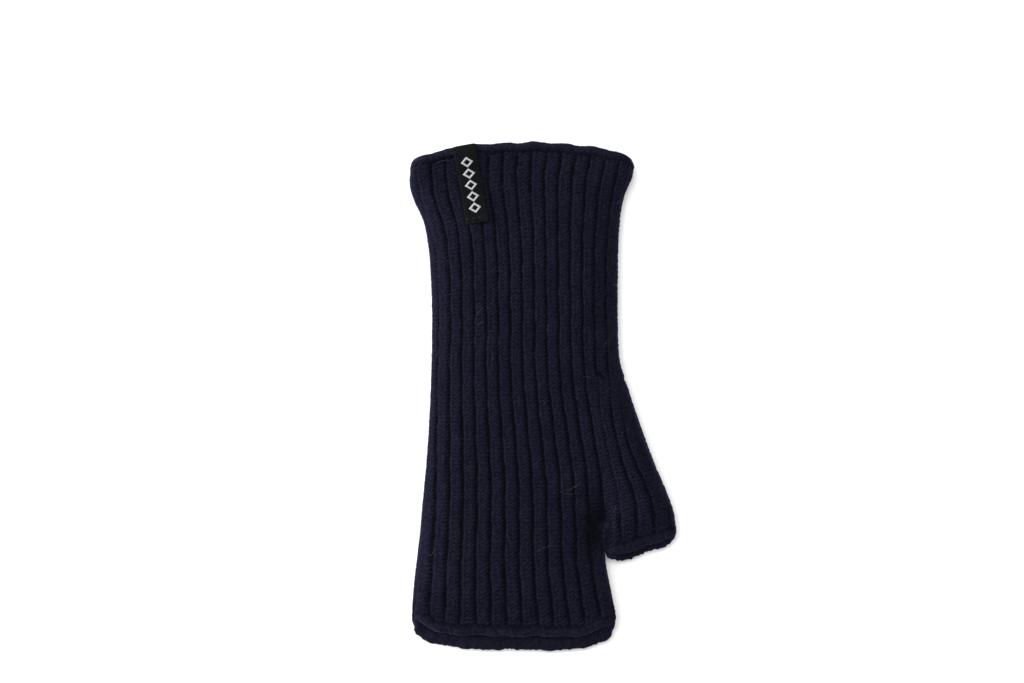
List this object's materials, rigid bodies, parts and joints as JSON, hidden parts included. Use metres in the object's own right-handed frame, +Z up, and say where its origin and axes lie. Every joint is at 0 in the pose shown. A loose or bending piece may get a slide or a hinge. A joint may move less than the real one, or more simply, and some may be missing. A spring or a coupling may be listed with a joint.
{
  "type": "fingerless mitten",
  "caption": "Long rib-knit fingerless mitten with an open thumb tube, rolled edges and a woven label at the wrist.",
  "frame": {"origin": "under the middle of the mitten's outline, on the surface that it lies on", "axes": "+Y towards the wrist opening, +X towards the thumb side, +Z up through the back of the hand"},
  "size_m": [0.1228, 0.2335, 0.0165],
  "materials": {
    "navy_wool": "matte rib knit with fine fuzz",
    "black_woven": "fine satin weave",
    "grey_thread": "matte thread"
  },
  "bodies": {
    "hand": {"hand_back_panel": "navy_wool", "hand_palm_panel": "navy_wool", "hand_side_seam": "navy_wool"},
    "cuff": {"cuff_back_panel": "navy_wool", "cuff_palm_panel": "navy_wool", "cuff_side_seam": "navy_wool", "wrist_rolled_edge": "navy_wool", "label": "black_woven", "label_stitching": "grey_thread"},
    "finger_end": {"finger_back_panel": "navy_wool", "finger_palm_panel": "navy_wool", "finger_side_seam": "navy_wool", "finger_rolled_edge": "navy_wool"},
    "thumb": {"thumb_back_panel": "navy_wool", "thumb_palm_panel": "navy_wool", "thumb_side_seam": "navy_wool", "thumb_rolled_edge": "navy_wool"}
  },
  "joints": [
    {"name": "wrist_fold", "type": "hinge", "parent": "hand", "child": "cuff", "pos_m": [-0.0085, 0.032, 0.0062], "axis": [1, 0, 0], "range_deg": [-60, 60]},
    {"name": "finger_fold", "type": "hinge", "parent": "hand", "child": "finger_end", "pos_m": [-0.014, -0.086, 0.0062], "axis": [-1, 0, 0], "range_deg": [-60, 60]},
    {"name": "thumb_fold", "type": "hinge", "parent": "hand", "child": "thumb", "pos_m": [0.0275, -0.059, 0.0062], "axis": [-0.1462, -0.9893, 0], "range_deg": [-50, 50]}
  ]
}
